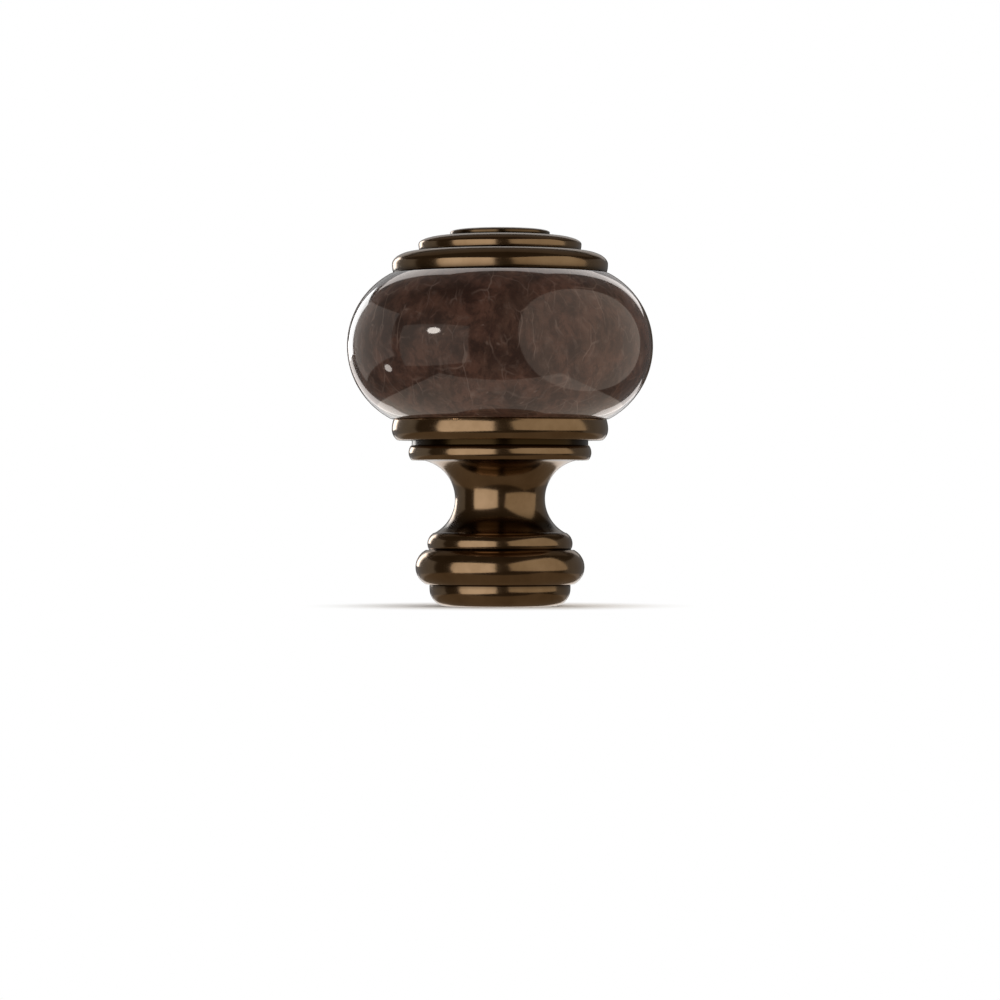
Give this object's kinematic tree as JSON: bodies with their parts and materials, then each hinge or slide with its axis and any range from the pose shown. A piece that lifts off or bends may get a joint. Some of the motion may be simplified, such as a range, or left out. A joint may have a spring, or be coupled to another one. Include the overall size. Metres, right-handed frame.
{
  "type": "curtain finial",
  "caption": "Turned curtain rod finial: a flattened glossy resin ball between a stepped bronze cap and a ringed, waisted bronze base with a rod socket and a set screw.",
  "frame": {"origin": "centre of the seat, the flat ring under the base", "axes": "+Z along the turning axis from the seat to the cap, +Y to the set screw at the back"},
  "size_m": [0.082, 0.082, 0.101],
  "materials": {
    "antique_bronze": "antique bronze plate on a zinc casting, polished and lacquered",
    "brown_resin": "dark brown burl-figured cast resin, polished under a clear coat",
    "black_oxide_steel": "black oxide steel",
    "zinc_plated_steel": "bright zinc plate"
  },
  "bodies": {
    "root": {"base": "antique_bronze", "ball": "brown_resin", "top_cap": "antique_bronze", "tie_bolt": "black_oxide_steel", "washer": "zinc_plated_steel", "grub_screw": "black_oxide_steel"}
  },
  "joints": []
}
